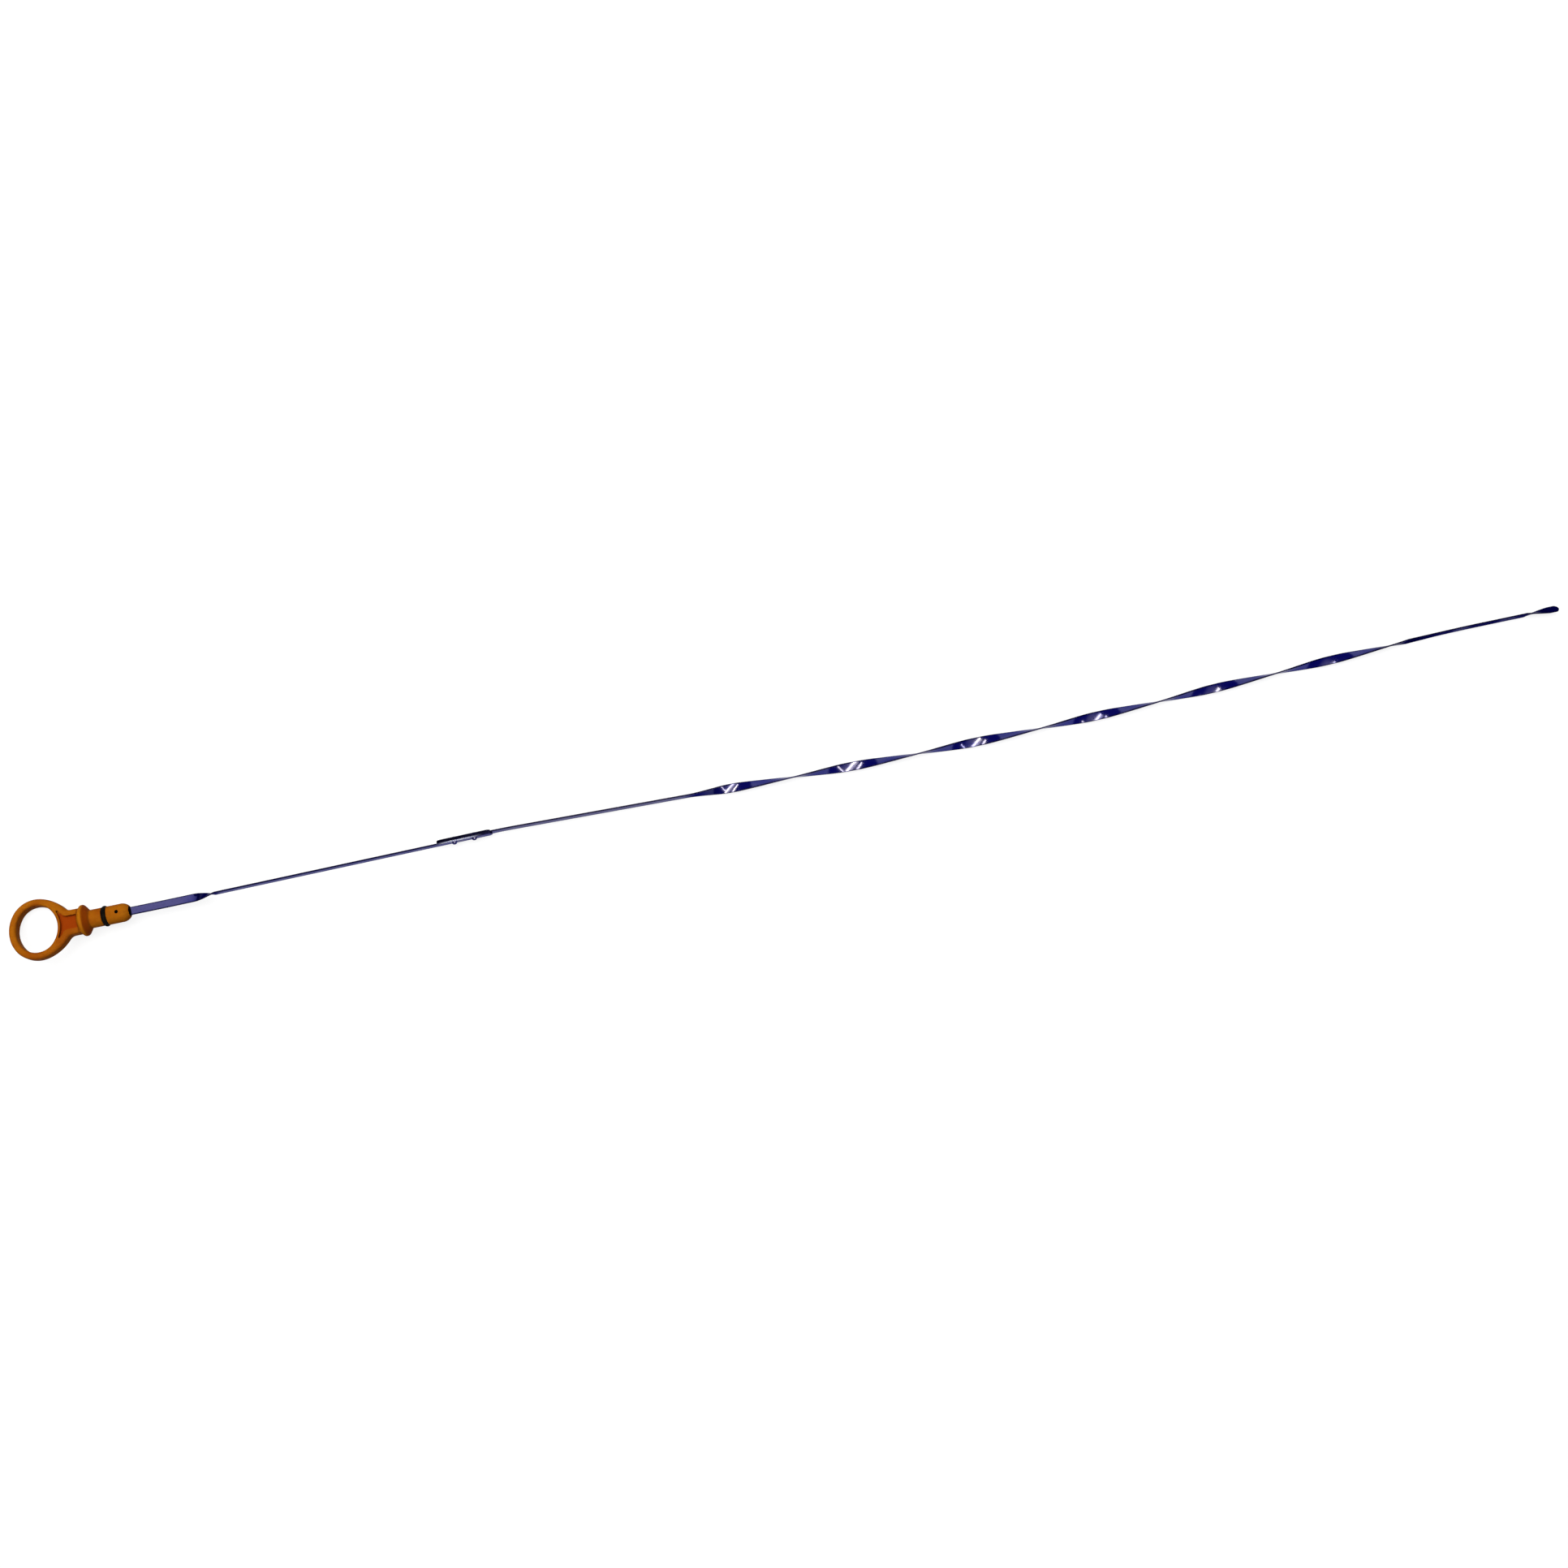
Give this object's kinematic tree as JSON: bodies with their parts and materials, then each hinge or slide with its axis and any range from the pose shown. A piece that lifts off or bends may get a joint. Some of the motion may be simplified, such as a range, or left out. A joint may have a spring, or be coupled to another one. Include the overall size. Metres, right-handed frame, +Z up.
{
  "type": "engine oil dipstick",
  "caption": "Slim engine oil dipstick: moulded finger ring and sealed tube plug on a springy steel blade, lap riveted, twisted along its length, with level holes near a rounded tip",
  "frame": {"origin": "on the plug axis, where the seating cone of the collar meets the stem", "axes": "+X along the plug axis from the finger ring to the tip of the blade, +Z up as the dipstick lies on a flat surface on its collar, the edge of its finger ring and its blade"},
  "size_m": [0.9272, 0.033, 0.0174],
  "materials": {
    "amber_plastic": "moulded, satin gloss",
    "seal_rubber": "smooth, oily black",
    "upper_blade_steel": "blued, satin",
    "lower_blade_steel": "blued, bright",
    "rivet_steel": "blued, polished heads"
  },
  "bodies": {
    "root": {"handle": "amber_plastic", "o_ring": "seal_rubber", "upper_blade": "upper_blade_steel", "lower_blade": "lower_blade_steel", "lap_rivets": "rivet_steel"}
  },
  "joints": []
}
